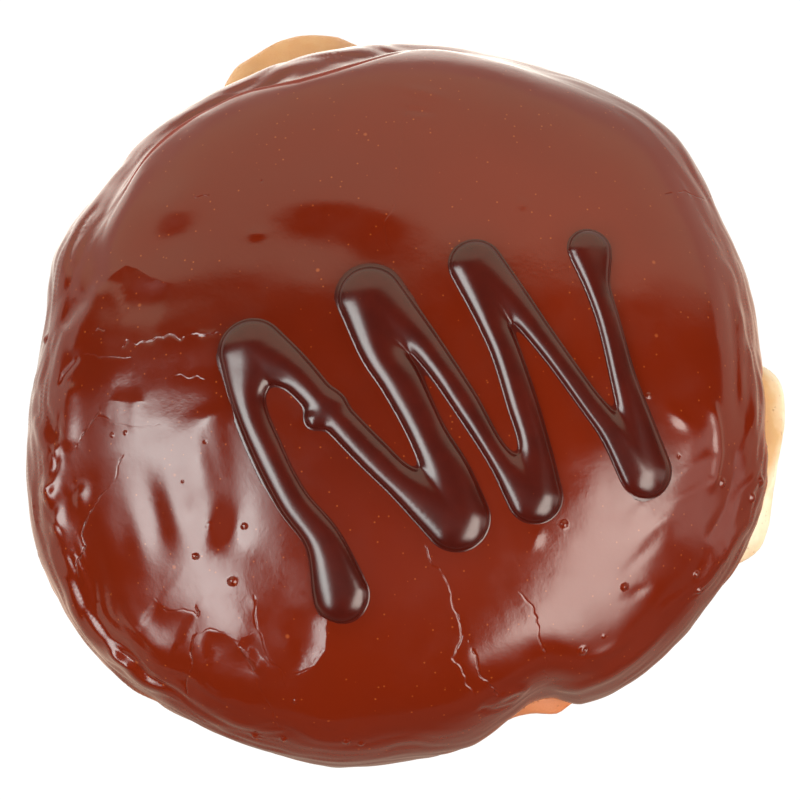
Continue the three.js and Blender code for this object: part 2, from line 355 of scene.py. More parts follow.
def noise(spots, size, seed):
    """Smooth noise from -1 to 1 with lumps about one size across."""
    rng = np.random.default_rng(seed)
    count = 256
    table = rng.uniform(-1, 1, (count, count))
    cell = spots / size + 1000
    low = np.floor(cell).astype(int)
    t = cell - low
    t = t * t * t * (t * (6 * t - 15) + 10)
    i, j = low[..., 0] % count, low[..., 1] % count
    i2, j2 = (i + 1) % count, (j + 1) % count
    near = table[i, j] * (1 - t[..., 0]) + table[i2, j] * t[..., 0]
    far = table[i, j2] * (1 - t[..., 0]) + table[i2, j2] * t[..., 0]
    return near * (1 - t[..., 1]) + far * t[..., 1]


def along_steps(spots, path):
    """For each step of a path: its ends, its direction, the spots' offsets from its start, how far
    along it they are and how far away from it."""
    for start, end in zip(path[:-1], path[1:]):
        step = end[:2] - start[:2]
        offset = spots - start[:2]
        t = np.clip(offset @ step / (step @ step), 0, 1)
        away = offset - t[:, None] * step
        yield start, end, step, offset, t, np.hypot(away[:, 0], away[:, 1])


def line_distance(spots, path):
    """Distance to a path, the side of it (positive on its left) and the share of the way along."""
    path = np.asarray(path, float)
    best = np.full(len(spots), np.inf)
    side = np.zeros(len(spots))
    along = np.zeros(len(spots))
    lengths = np.linalg.norm(np.diff(path, axis=0), axis=1)
    ways = np.concatenate([[0], np.cumsum(lengths)]) / lengths.sum()
    for k, (_, _, step, offset, t, distance) in enumerate(along_steps(spots, path)):
        nearer = distance < best
        best[nearer] = distance[nearer]
        side[nearer] = np.sign(step[0] * offset[:, 1] - step[1] * offset[:, 0])[nearer]
        along[nearer] = (ways[k] + (ways[k + 1] - ways[k]) * t)[nearer]
    return best, side, along


def smooth_path(points, samples):
    """A curve through points of any number of columns, with a few samples from each to the next."""
    points = np.asarray(points, float)
    padded = np.concatenate([[2 * points[0] - points[1]], points, [2 * points[-1] - points[-2]]])
    t = np.arange(samples)[:, None] / samples
    pieces = []
    for k in range(1, len(padded) - 2):
        before, start, end, after = padded[k - 1:k + 3]
        gaps = [max(np.linalg.norm(q[:2] - p[:2]), 1e-6) ** 0.5
                for p, q in ((before, start), (start, end), (end, after))]
        first = (start - before) / gaps[0] - (end - before) / (gaps[0] + gaps[1])
        start_slope = (first + (end - start) / gaps[1]) * gaps[1]
        last = (after - end) / gaps[2] - (after - start) / (gaps[1] + gaps[2])
        end_slope = (last + (end - start) / gaps[1]) * gaps[1]
        pieces.append(
            (2 * t**3 - 3 * t**2 + 1) * start + (t**3 - 2 * t**2 + t) * start_slope
            + (3 * t**2 - 2 * t**3) * end + (t**3 - t**2) * end_slope
        )
    return np.concatenate(pieces + [points[-1:]])


# ---- materials ----------------------------------------------------------------------------------

class Shades:
    """A new principled material, or a world's background, and a short way to add nodes to it."""

    def __init__(self, name, roughness, tree=None):
        if tree is None:
            self.material = bpy.data.materials.new(name)
            self.material.use_nodes = True
            tree = self.material.node_tree
            self.shader = tree.nodes["Principled BSDF"]
            self.shader.inputs["Roughness"].default_value = roughness
        else:
            self.shader = tree.nodes["Background"]
        self.tree = tree

    def add(self, kind, inputs, output=0, **settings):
        """Adds a node, sets or links its inputs, and gives back one of its outputs."""
        node = self.tree.nodes.new("ShaderNode" + kind)
        for name, value in settings.items():
            setattr(node, name, value)
        for name, value in inputs.items():
            if isinstance(value, bpy.types.NodeSocket):
                self.tree.links.new(value, node.inputs[name])
            else:
                node.inputs[name].default_value = value
        return node.outputs[output]

    def put(self, value, name):
        """Links a value to an input of the shader."""
        self.tree.links.new(value, self.shader.inputs[name])

    def place(self):
        return self.add("TexCoord", {}, "Object")

    def coordinate(self, axis):
        return self.add("SeparateXYZ", {"Vector": self.place()}, axis)

    def dot(self, vector, x, y):
        """How far a vector reaches towards (x, y, 0)."""
        return self.add("VectorMath", {0: vector, 1: (x, y, 0)}, "Value", operation="DOT_PRODUCT")

    def attribute(self, name):
        return self.add("Attribute", {}, "Fac", attribute_name=name)

    def speckle(self, size, detail, roughness):
        """Noise with lumps about one size across, in millimetres."""
        return self.add("TexNoise", {"Vector": self.place(), "Scale": 1 / (size * MM),
                                     "Detail": detail, "Roughness": roughness})

    def ramp(self, value, *stops):
        """Colours between stops, each a position and a colour."""
        output = self.add("ValToRGB", {"Fac": value})
        elements = output.node.color_ramp.elements
        for number, (position, colour) in enumerate(stops):
            stop = elements[number] if number < 2 else elements.new(position)
            stop.position = position
            stop.color = (*colour, 1)
        return output

    def share(self, value, low, high, start=0.0, end=1.0):
        """A value's smooth change from start to end as it goes from low to high."""
        return self.add("MapRange", {"Value": value, "From Min": low, "From Max": high,
                                     "To Min": start, "To Max": end},
                        interpolation_type="SMOOTHSTEP")

    def math(self, operation, first, second):
        return self.add("Math", {0: first, 1: second}, operation=operation)

    def mix(self, share, first, second):
        """A share of the second colour over the first one, each a link or a plain colour."""
        first, second = (value + (1,) if isinstance(value, tuple) else value
                         for value in (first, second))
        return self.add("MixRGB", {"Fac": share, "Color1": first, "Color2": second})

    def bump(self, height, distance):
        """Roughens the surface with a height from 0 to 1, over a distance in millimetres."""
        before = self.shader.inputs["Normal"]
        inputs = {"Height": height, "Distance": distance * MM, "Strength": 1}
        if before.is_linked:
            inputs["Normal"] = before.links[0].from_socket
        self.tree.links.new(self.add("Bump", inputs), before)

    def specks(self, spacing, size, share):
        """Small round specks: 1 inside them. Only a share of the cells has one."""
        cells = self.add("TexVoronoi", {"Vector": self.place(), "Scale": 1 / (spacing * MM)})
        chosen = self.add("SeparateColor", {"Color": cells.node.outputs["Color"]})
        inside = self.share(cells, size / spacing, size / spacing * 0.4)
        return self.math("MULTIPLY", inside, self.share(chosen, 1 - share, 1.02 - share))

    def specked(self, colour, specks, strength, speck_colour):
        return self.mix(self.math("MULTIPLY", specks, strength), colour, speck_colour)


ICING_TOP = (0.093, 0.0071, 0.0012)
ICING_SIDES = (0.128, 0.0102, 0.0016)
ICING_MOTTLE = (0.112, 0.0088, 0.0014)
# painted shade: the colour the icing takes close to the drizzle, standing in for the drizzle's
# shade
ICING_SHADE_BESIDE_DRIZZLE = (0.060, 0.0050, 0.0012)
ICING_THIN_EDGE = (0.30, 0.062, 0.014)
ICING_SHOULDER = (0.19, 0.017, 0.006)
ICING_FINE_SPECK = (0.34, 0.075, 0.015)
ICING_SPECK = (0.32, 0.070, 0.018)
ICING_ROUGHNESS = (0.13, 0.24)
SHOULDER_ROUGHNESS = 0.75
DRIZZLE_DARK = (0.040, 0.0036, 0.0020)
DRIZZLE_LIGHT = (0.060, 0.0052, 0.0026)
DRIZZLE_SPECK = (0.22, 0.042, 0.012)
DRIZZLE_ROUGHNESS = 0.21
DOUGH_ROUGHNESS = 0.55
DOUGH_TOP_LEVEL = 0.036
# The crust by its height, as a share of the level above, and its colour
DOUGH_BANDS = [
    (0.0, (0.14, 0.042, 0.010)), (0.18, (0.23, 0.078, 0.018)), (0.34, (0.36, 0.155, 0.040)),
    (0.45, (0.82, 0.68, 0.48)), (0.56, (0.90, 0.80, 0.62)), (0.66, (0.62, 0.38, 0.18)),
    (0.85, (0.44, 0.19, 0.052)),
]
DOUGH_GOLDEN = (0.46, 0.172, 0.030)
DOUGH_BLOTCH = (0.60, 0.37, 0.18)
DOUGH_SOAKED = (0.50, 0.145, 0.045)
DOUGH_FRONT = (0.52, 0.15, 0.05)
# painted shade: the darker colour of the crust's pores stands in for the shade in their hollows
DOUGH_PORE_SHADE = (0.28, 0.11, 0.03)


def icing_material():
    """Darkest on top. Redder where the coat is thin, darker beside the drizzle as painted shade,
    and dull along the shoulder's groove.
    """
    shades = Shades("milk_chocolate_icing", ICING_ROUGHNESS[0])
    from_top = shades.add("VectorMath", {0: shades.place(), 1: (-0.014, -0.001, 0.036)}, "Value",
                          operation="DISTANCE")
    colour = shades.mix(shades.share(from_top, 0.008, 0.036), ICING_TOP, ICING_SIDES)
    mottle = shades.share(shades.speckle(13, 4, 0.6), 0.3, 0.7, 0, 0.45)
    colour = shades.mix(mottle, colour, ICING_MOTTLE)
    # painted shade: darker close to the drizzle, where its shade would fall
    drizzle_shade = shades.share(shades.attribute("from_drizzle"), 3.5, 0.0, 0, 0.14)
    colour = shades.mix(drizzle_shade, colour, ICING_SHADE_BESIDE_DRIZZLE)
    thin = shades.share(shades.attribute("edge_way"), 1.6, 0.0, 0, 0.75)
    colour = shades.mix(thin, colour, ICING_THIN_EDGE)
    colour = shades.specked(colour, shades.specks(1.1, 0.15, 0.6), 0.6, ICING_FINE_SPECK)
    colour = shades.specked(colour, shades.specks(4.5, 0.34, 0.5), 0.55, ICING_SPECK)
    shoulder = shades.share(shades.attribute("from_shoulder"), 1.25, 0.55)
    shades.put(shades.mix(shoulder, colour, ICING_SHOULDER), "Base Color")
    smear = shades.share(shades.speckle(7, 4, 0.6), 0.35, 0.75, *ICING_ROUGHNESS)
    dull = shades.math("MULTIPLY", shoulder, SHOULDER_ROUGHNESS)
    shades.put(shades.math("MAXIMUM", smear, dull), "Roughness")
    shades.bump(shades.speckle(2.2, 4, 0.65), 0.020)
    shades.bump(shades.speckle(0.6, 3, 0.6), 0.006)
    return shades.material


def drizzle_material():
    shades = Shades("dark_chocolate_drizzle", DRIZZLE_ROUGHNESS)
    colour = shades.ramp(shades.speckle(5, 4, 0.6), (0.3, DRIZZLE_DARK), (0.7, DRIZZLE_LIGHT))
    colour = shades.specked(colour, shades.specks(1.7, 0.10, 0.4), 0.4, DRIZZLE_SPECK)
    shades.put(colour, "Base Color")
    shades.bump(shades.speckle(0.5, 3, 0.6), 0.006)
    return shades.material


def dough_material():
    """Bands by height, golden towards the left, and soaked where the icing ends on it."""
    shades = Shades("fried_dough", DOUGH_ROUGHNESS)
    uneven = shades.math("MULTIPLY", shades.speckle(9, 4, 0.6), 0.006)
    level = shades.math("ADD", shades.coordinate("Z"), uneven)
    crust = shades.ramp(shades.share(level, 0.0, DOUGH_TOP_LEVEL), *DOUGH_BANDS)
    golden = shades.share(shades.coordinate("X"), 0.035, 0.0, 0, 0.88)
    crust = shades.mix(golden, crust, DOUGH_GOLDEN)
    blotch = shades.share(shades.speckle(3.2, 4, 0.65), 0.4, 0.7, 0, 0.3)
    crust = shades.mix(blotch, crust, DOUGH_BLOTCH)
    soaked = shades.share(shades.attribute("edge_way"), 3.4, 1.2, 0, 0.8)
    colour = shades.mix(soaked, crust, DOUGH_SOAKED)
    forward = shades.share(shades.coordinate("Y"), -0.030, -0.038, 0, 0.85)
    colour = shades.mix(forward, colour, DOUGH_FRONT)
    # the pores are painted darker as shade in their hollows, and dented by a bump below
    pores = shades.specks(0.8, 0.16, 0.5)
    shades.put(shades.specked(colour, pores, 0.3, DOUGH_PORE_SHADE), "Base Color")
    shades.shader.inputs["Subsurface Weight"].default_value = 0.15
    shades.shader.inputs["Subsurface Radius"].default_value = (0.0030, 0.0015, 0.0006)
    shades.bump(shades.speckle(1.4, 5, 0.7), 0.16)
    shades.bump(shades.math("SUBTRACT", 1.0, pores), 0.10)
    return shades.material


# ---- the icing's relief -------------------------------------------------------------------------

# Wide tips of the surface: x, y, half length, half width, turn of the length, and how steeply it
# climbs towards +x and +y in the middle
TIPS = [
    [-9.8, 17.6, 6.6, 5, -6, 0.02, 0.17], [-3.6, 15.2, 3.2, 6, 10, 0, 0.09],
    [-28.4, 18.6, 4.6, 3.3, 55, 0.02, 0.2], [-12.4, -29.6, 3.4, 6, 12, 0.065, 0.02],
    [22, -29, 7, 4, 45, -0.03, 0.04], [33.7, -18.7, 2.2, 1.2, 40, -0.09, 0.04],
    [-33, -3, 1, 3.5, 0, 0.1, -0.04], [36.6, -8.8, 1.8, 2.6, -30, -0.16, 0.06],
    [-29, -17.8, 4.2, 2.6, -70, 0.25, 0], [-26.6, -6.4, 4.2, 3, 0, 0, -0.06],
    [-26.4, -2.2, 5, 2.6, 0, 0, -0.06], [-21.6, -13.6, 6.5, 1.9, -78, -0.05, 0],
    [-33.5, 9.4, 5, 3.4, -8, 0, 0.11], [-33, 4.6, 6, 2.8, -8, 0, 0.055],
    [-21.9, -19.8, 2.3, 2.1, 0, -0.28, 0.04], [-21.8, -11.5, 6.5, 3.2, -85, -0.06, 0],
    [-33.2, -20, 3.8, 1.9, -75, 0.13, 0],
]

# Swellings and dents: x, y, half length, half width, turn of the length, height
SWELLS = [
    [-22.9, -12, 5, 1.2, -78, -0.09], [-26, -26.8, 4, 1.6, 10, -0.1],
    [-31.9, -32.6, 3.6, 1.7, -50, 0.34], [14.1, 19.7, 0.9, 0.8, 0, 0.1],
    [-17.8, 16.1, 1, 0.8, 0, 0.12], [1.6, 32.7, 1.9, 0.6, -8, -0.1],
    [2.5, 35.6, 3.4, 1, -18, 0.1], [28.8, -27.6, 1.8, 0.8, 22, -0.12],
    [25.6, -35.8, 2.8, 0.9, 25, 0.14], [15.2, -21.4, 1.3, 1, 60, 0.13],
    [33.4, -6, 1.6, 0.9, -40, 0.16], [-22.6, -6.4, 2.2, 1.2, 20, 0.14],
    [-40.5, -15.2, 1.5, 1.1, 80, 0.35], [-45, -13.4, 1.4, 0.9, 85, 0.75],
    [-36.3, -33.8, 1.6, 0.8, -50, 0.45], [-34.6, -35.4, 0.9, 0.6, -30, 0.3],
    [-43.5, -17.5, 1.6, 0.7, 85, 0.25], [-44.2, -9, 1.3, 0.6, 75, 0.25],
    [28.8, -23, 3, 0.8, 42, -0.08], [30.6, -19.4, 3.4, 0.7, 38, 0.07],
    [29, -15.6, 3.2, 0.8, 40, -0.07], [34.6, -15.4, 2.6, 0.7, 30, 0.08],
    [35.6, -11.6, 2.4, 0.8, 35, 0.09], [21.6, -27, 2, 0.9, 35, -0.07],
]

# Bubbles and pits, with a sharp foot or rim: x, y, radius, height
BUBBLES = [
    [-19.2, -19.8, 0.5, 0.14], [-23.3, -19.6, 0.6, 0.08], [-20.8, -26.3, 0.62, 0.3],
    [-25.2, -23.2, 0.42, -0.3], [-36, -7.9, 0.3, 0.1], [-34.1, -7.8, 0.3, 0.1],
    [-23.8, -9.6, 0.22, -0.1], [-26.6, -14.2, 0.2, -0.1], [-49.4, 7.5, 0.9, 0.35],
    [-20.4, -47.6, 0.7, 0.35], [-16.2, -47.5, 0.6, 0.3], [-7.7, -47.4, 0.6, 0.25],
    [-5.8, -48.2, 0.5, 0.2], [-13.7, -41.2, 0.35, 0.1], [26.8, -26.9, 0.55, 0.28],
    [22.4, -35.4, 0.8, 0.3], [22.6, -35.2, 0.36, -0.26], [24.9, -33.4, 0.28, 0.1],
    [40.4, -13.5, 0.7, 0.28], [47.5, -12.5, 0.9, 0.4], [45.7, -14.8, 0.8, 0.4],
    [38.7, -27.6, 0.55, 0.3], [37.6, -25.4, 0.5, 0.25], [18.9, -19.6, 0.55, 0.2],
    [33.3, -10.7, 0.25, -0.12], [-17.4, 23.1, 0.22, -0.1], [29.3, -3.6, 0.4, 0.12],
]

# Cracks in the skin: the path, the groove's depth, how far the left side stands above the right
# one, how steeply the skin climbs away from the crack on its left and on its right, and how far
# that reaches
CRACKS = [
    ([[-30.6, -27.7], [-29.5, -28.7], [-27.9, -29.3], [-25.9, -29.9], [-25.2, -30.6]],
     0.03, 0.02, 0.03, -0.16, 3),
    ([[-25.6, -29.1], [-25.2, -29.9], [-25.6, -31.2], [-25.3, -32.2], [-25.9, -33.4],
      [-26.2, -36], [-27.3, -38], [-27.6, -39.9]], 0.12, 0.02, 0.02, 0, 2),
    ([[-25.4, -32.2], [-23.8, -32], [-21.9, -32.5], [-20.8, -33.4], [-20.4, -34],
      [-20.1, -33.3], [-17.6, -32.2]], 0.02, 0.02, 0.03, -0.16, 3),
    ([[-18.3, -27.8], [-18, -29.8], [-17.8, -31.8], [-17.1, -33.9], [-16.6, -35.6],
      [-15.3, -37], [-14.9, -38.5], [-14.2, -39.6]], 0.05, -0.03, -0.05, 0, 2),
    ([[-20.1, -34.1], [-19.4, -36.7], [-17.8, -39.8], [-16.7, -42.6], [-16.6, -45.5]],
     0.03, 0.01, 0, 0, 1),
    ([[-9.2, -29], [-9.3, -32.1], [-9.7, -34.8], [-11.1, -36.6], [-13, -37.4], [-14.8, -37.2]],
     0.01, 0.01, -0.02, -0.13, 3.4),
    ([[-34.5, 2.8], [-34.2, 3.4], [-33.8, 3.5], [-33, 3.1], [-31, 3.1], [-30, 3.6],
      [-29, 3.5], [-28.2, 4], [-26.8, 3.1], [-25, 3.7], [-22.1, 3.8]],
     0.07, 0.12, 0, 0, 1),
    ([[-41.1, 3.2], [-39.6, 2.4], [-37, 2.2], [-35.2, 1.6], [-33.5, 1.7]], 0.02, 0.03, 0, 0, 1),
    ([[-28.2, -1.6], [-26.8, -1.4], [-26, -1.8], [-24.6, -1.8], [-23.6, -2.4]],
     0.01, 0.02, 0, 0, 1),
    ([[-39.4, 5.4], [-38.3, 6], [-37.1, 5.8]], 0.04, 0.05, 0, 0, 1),
    ([[-36.6, -3.5], [-33.4, -4.1], [-31.2, -4.2]], 0, 0.01, -0.08, -0.04, 2.4),
    ([[-38.5, -5.1], [-37.1, -5.7], [-35.5, -6.6], [-31.4, -7.1], [-29.5, -7], [-27.2, -8.2]],
     0.01, 0.01, 0.03, -0.05, 2),
    ([[-37.4, -4.2], [-38.5, -5.1], [-40, -6.8], [-42, -9.2]], 0.1, 0.06, -0.04, 0, 1.5),
    ([[-34.4, -10.2], [-35.8, -13.4], [-38.8, -16.7], [-40.1, -19.3], [-39.5, -20.9],
      [-41.2, -24.1]], 0.09, 0.03, 0, -0.06, 2),
    ([[-37.9, 12.1], [-36.6, 12.8], [-34.5, 13.7], [-33, 13.1], [-31.1, 11.6], [-29.4, 10.7],
      [-27.7, 10.2]], 0, 0.01, 0, -0.17, 3.5),
    ([[-26, 22], [-24.9, 21.8], [-23.5, 22.1]], 0.05, 0.02, 0, 0, 1),
    ([[2.3, -22], [3.6, -24.7], [4.9, -26.9], [5.9, -30.1], [6.6, -33.2], [5.6, -36],
      [6.9, -37.6], [7.7, -39.7], [9, -41.7]], 0.09, -0.09, 0.03, 0.02, 1.6),
    ([[7.4, -33.5], [8.5, -35.4], [8.8, -37.7], [10.6, -40], [12.1, -42.3]],
     0.1, 0, 0, 0.05, 1.6),
    ([[13.3, -27.3], [15, -29.1], [16, -30.7], [16.4, -33], [17.5, -36], [18.4, -39],
      [19.6, -42]], 0.045, 0, 0, 0, 1),
    ([[32.3, 23.7], [36.3, 25.5], [40.5, 26.3], [43.5, 28.2]], 0.07, 0.02, 0, 0, 1),
    ([[0.4, 34.3], [-0.1, 30.6], [-0.6, 26.1], [-1.5, 21.8], [-1.4, 19.1], [-2.8, 17.3],
      [-1.9, 13]], 0.02, 0.01, 0, 0, 1),
]
CRACK_WIDTH = 0.08

# Folds of the skin: the path, half widths of the left and right flanks, and height
FOLDS = [
    ([[-43.4, -21.6], [-41.6, -25.2], [-39.3, -29.7], [-37.4, -33.4], [-35.2, -36.4],
      [-32.7, -38.8], [-29.6, -41.4], [-25.8, -45], [-21.5, -48.6]], 1.2, 1.8, 0.3),
    ([[-41.8, -22.8], [-39.8, -27.8], [-37.4, -31.5], [-35.2, -34.2], [-32.6, -37],
      [-29.2, -40]], 0.5, 0.45, -0.12),
    ([[-41.5, 3], [-44, 0.9], [-44.8, -0.9]], 0.4, 0.4, -0.12),
    ([[-38.1, 12.9], [-41.5, 7.2], [-42.8, 2.7]], 1.6, 1.4, 0.2),
    ([[-41.6, 11.7], [-45.1, 7.5]], 1.3, 1.3, -0.25),
    ([[-42.6, 0.2], [-42.9, -3], [-42.6, -6], [-42.8, -9.4]], 1.1, 1.4, 0.25),
    ([[-50, -3.2], [-47.5, -5.6], [-45.8, -8.6], [-45.8, -11.2]], 1.1, 1.1, 0.2),
    ([[-44.2, -3.6], [-44.1, -6.8], [-43.9, -10.1], [-44.6, -12.1]], 0.35, 0.35, -0.1),
    ([[44.9, 12.5], [44.4, 5.9], [44.1, 0.3], [44, -5]], 1.2, 0.9, 0.25),
    ([[46.9, 8.2], [47.1, 2.4], [46.9, -3.2], [46.3, -8.2]], 0.9, 1.1, 0.25),
    ([[37.8, -2.5], [38.2, -4.5], [39, -7], [39.4, -9.8], [39, -13], [37.4, -15.4]],
     0.7, 0.9, 0.28),
    ([[42.2, -8.5], [42.4, -12.5], [41.2, -17], [38.2, -21.4]], 0.9, 0.9, -0.2),
    ([[47.9, -16.5], [44.1, -19.6], [41, -23.4], [38.5, -28.2]], 1.3, 1.5, 0.32),
    ([[20, -43], [23.1, -44.4], [26.8, -41.1], [30.6, -37], [34.6, -31.8]], 1.5, 1.5, 0.3),
    ([[11.8, -42.8], [14.6, -42.2], [17.4, -43.4]], 0.9, 1, 0.28),
    ([[9.4, -43.6], [12.2, -45.6], [15.6, -45.8]], 0.6, 0.6, -0.18),
]

# The narrow dull groove under the crown's shoulder at the back: azimuth and fall
SHOULDER_LINE = np.array([
    [84, 76.5], [88, 71.5], [91, 66.5], [96, 63.2], [101, 61], [105, 60.2], [109, 60.2],
    [113, 62.5], [117, 65.2], [121, 66.8], [126, 68], [135, 68.2], [142, 68.5], [150, 65.5],
    [156, 62],
])
SHOULDER_PATH = to_map(SHOULDER_LINE[:, 0], SHOULDER_LINE[:, 1])
FOLDS.append((SHOULDER_PATH, 0.42, 0.36, -0.22))

# Wrinkling of the rim round the doughnut: azimuth, height of the wrinkles
WRINKLING = np.array([
    [0, 0.42], [25, 0.3], [50, 0.24], [80, 0.26], [110, 0.4], [140, 0.4], [165, 0.5],
    [195, 0.6], [225, 0.55], [245, 0.4], [262, 0.16], [285, 0.2], [305, 0.16], [325, 0.24],
    [342, 0.45],
])


def in_oval(spots, oval):
    """Offsets from an oval's middle and the distance from it in shares of its half lengths."""
    x, y, length, width, turn = oval[:5]
    angle = math.radians(turn)
    dx, dy = spots[:, 0] - x, spots[:, 1] - y
    ahead = (dx * math.cos(angle) + dy * math.sin(angle)) / length
    aside = (dy * math.cos(angle) - dx * math.sin(angle)) / width
    return dx, dy, np.hypot(ahead, aside)


def near_path(spots, path, reach):
    path = np.array(path)
    low, high = path.min(0) - reach, path.max(0) + reach
    return np.where(((spots > low) & (spots < high)).all(axis=1))[0]


def taper(along, share):
    return smoothstep(along, 0, share) * smoothstep(1 - along, 0, share)


def soft_relief(spots):
    """The icing's wide, gentle unevenness."""
    return (0.11 * noise(spots, 14, 1) + 0.06 * noise(spots, 6.5, 2) + 0.014 * noise(spots, 2.8, 3)
            + 0.0018 * noise(spots, 1.0, 4))


def wrinkles(spots):
    """Soft folds that wander along the rim, with narrow creases between them."""
    azimuth, _ = from_map(spots)
    way = np.hypot(spots[:, 0], spots[:, 1])
    height = round_table(WRINKLING, 1, azimuth)
    height = height * smoothstep(way, 42, 48) * smoothstep(-way, -64, -58)
    radians = np.radians(azimuth)
    wander = np.stack([np.cos(radians), np.sin(radians)], 1) * NOMINAL_RADIUS
    across = way + 2.2 * noise(wander, 11, 11) + 0.9 * noise(spots, 5, 12)
    total = 0
    for width, length, share, seed in ((3.6, 16, 0.85, 21), (2.0, 8, 0.55, 22), (1.1, 4, 0.32, 23)):
        turns = round(2 * math.pi * NOMINAL_RADIUS / length)
        folds = ring_noise(azimuth / 360 * turns, across / width, turns, seed)
        total = total + share * (np.sqrt(folds**2 + 0.004) - 0.3)
    return height * total


def ring_noise(around, across, turns, seed):
    """Smooth noise that meets itself after a number of cells around."""
    rng = np.random.default_rng(seed)
    table = rng.uniform(-1, 1, (turns, 128))
    i, j = np.floor(around).astype(int), np.floor(across).astype(int)
    u, v = around - i, across - j
    u, v = u * u * (3 - 2 * u), v * v * (3 - 2 * v)
    near = table[i % turns, j % 128] * (1 - u) + table[(i + 1) % turns, j % 128] * u
    far = table[i % turns, (j + 1) % 128] * (1 - u) + table[(i + 1) % turns, (j + 1) % 128] * u
    return near * (1 - v) + far * v


def wandering(spots):
    """Spots moved a little, so that a straight crack through them runs unevenly."""
    across = 0.32 * noise(spots, 2.2, 51) + 0.16 * noise(spots, 0.8, 52)
    ahead = 0.32 * noise(spots, 2.2, 53) + 0.16 * noise(spots, 0.8, 54)
    return spots + np.stack([across, ahead], -1)


def icing_relief(spots):
    relief = soft_relief(spots) + wrinkles(spots)
    for tip in TIPS:
        dx, dy, away = in_oval(spots, tip)
        relief += (tip[5] * dx + tip[6] * dy) * np.exp(-away**2)
    for swell in SWELLS:
        relief += swell[5] * np.exp(-in_oval(spots, swell)[2] ** 2)
    for x, y, radius, height in BUBBLES:
        away = np.hypot(spots[:, 0] - x, spots[:, 1] - y) / radius
        relief += height * np.maximum(0, 1 - away**2) ** 1.4
    for path, depth, step, left, right, reach in CRACKS:
        near = near_path(spots, path, 3 * reach)
        here = spots[near]
        away, side, along = line_distance(here, path)
        climb = np.where(side > 0, left, right) * away * np.exp(-(away / reach) ** 2)
        relief[near] += climb * taper(along, 0.2)
        away, side, along = line_distance(wandering(here), path)
        step = step * (0.6 + 0.8 * noise(here, 1.6, 33)) * side
        step = step * (1 - np.exp(-(away / CRACK_WIDTH) ** 2)) * np.exp(-away / (0.5 * reach))
        depth = np.maximum(0, depth * (0.7 + 0.9 * noise(here, 0.9, 32)))
        groove = depth * np.exp(-(away / CRACK_WIDTH) ** 2)
        relief[near] += (step / 2 - groove) * taper(along, 0.06)
    for path, left, right, height in FOLDS:
        near = near_path(spots, path, 4 * max(left, right))
        away, side, along = line_distance(spots[near], path)
        flank = away / np.where(side > 0, left, right)
        relief[near] += height * np.exp(-flank**2) * taper(along, 0.2)
    return relief


# ---- the coat of icing --------------------------------------------------------------------------

COAT_RINGS = 48
INNER_ROWS = 8
LIP_STEPS = 6
FAR_AWAY = 9  # the distance that the coat's hidden points keep for the material


def coat_target(spots):
    """The coat's wanted edge length: fine at cracks and bubbles and along the rim."""
    way = np.hypot(spots[:, 0], spots[:, 1])
    target = 0.78 - 0.30 * smoothstep(way, 41, 46) + 0.3 * smoothstep(way, 57, 62)
    for path, *_ in CRACKS:
        near = near_path(spots, path, 1.6)
        away = line_distance(wandering(spots[near]), path)[0]
        target[near] = np.minimum(target[near], 0.08 + 0.75 * np.maximum(0, away - 0.15))
    for path, left, right, _ in FOLDS:
        near = near_path(spots, path, 2)
        away = line_distance(spots[near], path)[0]
        fine = 0.35 * min(left, right) + 0.1
        target[near] = np.minimum(target[near], fine + 0.5 * np.maximum(0, away - 1))
    for swell in SWELLS:
        away = np.maximum(0, in_oval(spots, swell)[2] - 1.5)
        target = np.minimum(target, (0.16 + 0.4 * away) * min(swell[2:4]) + 0.06)
    for x, y, radius, _ in BUBBLES:
        away = np.maximum(0, np.hypot(spots[:, 0] - x, spots[:, 1] - y) - 1.15 * radius)
        target = np.minimum(target, 0.10 + 0.10 * radius + 0.6 * away)
    return target


def edge_ways(spots):
    """The way down the icing to its lower edge, past each spot."""
    return way_down(icing_edge(from_map(spots)[0]))


def make_coat(field):
    spots, triangles = disc(COAT_RINGS)
    spots = spots * edge_ways(spots)[:, None]
    spots, triangles = refine(spots, triangles, coat_target, 10)
    points = icing_shell(spots) + icing_normals(spots) * icing_relief(spots)[:, None]

    loop = border_loop(triangles)
    azimuth, edge = from_map(spots[loop])
    radius = round_table(OUTLINE, 1, azimuth)
    lip_fall = np.degrees(ICING_THICKNESS / 2 / radius)
    lift = points[loop] - icing_shell(spots[loop])
    rows = []
    for step in range(1, LIP_STEPS + 1):
        turn = math.pi * step / LIP_STEPS
        inset = ICING_THICKNESS * (1 - math.cos(turn)) / 2
        fall = edge + lip_fall * math.sin(turn)
        rows.append(shell_points(azimuth, fall, radius - inset, inset)
                    + lift * (1 - step / LIP_STEPS))
    for step in range(1, INNER_ROWS):
        fall = edge * (1 - step / INNER_ROWS)
        rows.append(shell_points(azimuth, fall, radius - ICING_THICKNESS, ICING_THICKNESS))
    rows.append(np.array([[0, 0, WIDEST_LEVEL + CROWN_HEIGHT - ICING_THICKNESS]]))
    points, triangles = close_with_rows(points, triangles, loop, rows)
    hidden = np.zeros(len(points) - len(spots))
    from_edge = edge_ways(spots) - np.hypot(spots[:, 0], spots[:, 1])
    # the distance to the drizzle, which the material uses to paint shade beside it
    from_drizzle = np.maximum(0, field.distance(spots))
    from_shoulder, _, along = line_distance(spots, SHOULDER_PATH)
    from_shoulder += 1.5 * (1 - taper(along, 0.3))
    return make_piece("icing_coat", points, triangles, icing_material(),
                      edge_way=np.concatenate([from_edge, hidden]),
                      from_shoulder=np.concatenate([from_shoulder, hidden + FAR_AWAY]),
                      from_drizzle=np.concatenate([from_drizzle, hidden + FAR_AWAY]))


# ---- the drizzle --------------------------------------------------------------------------------

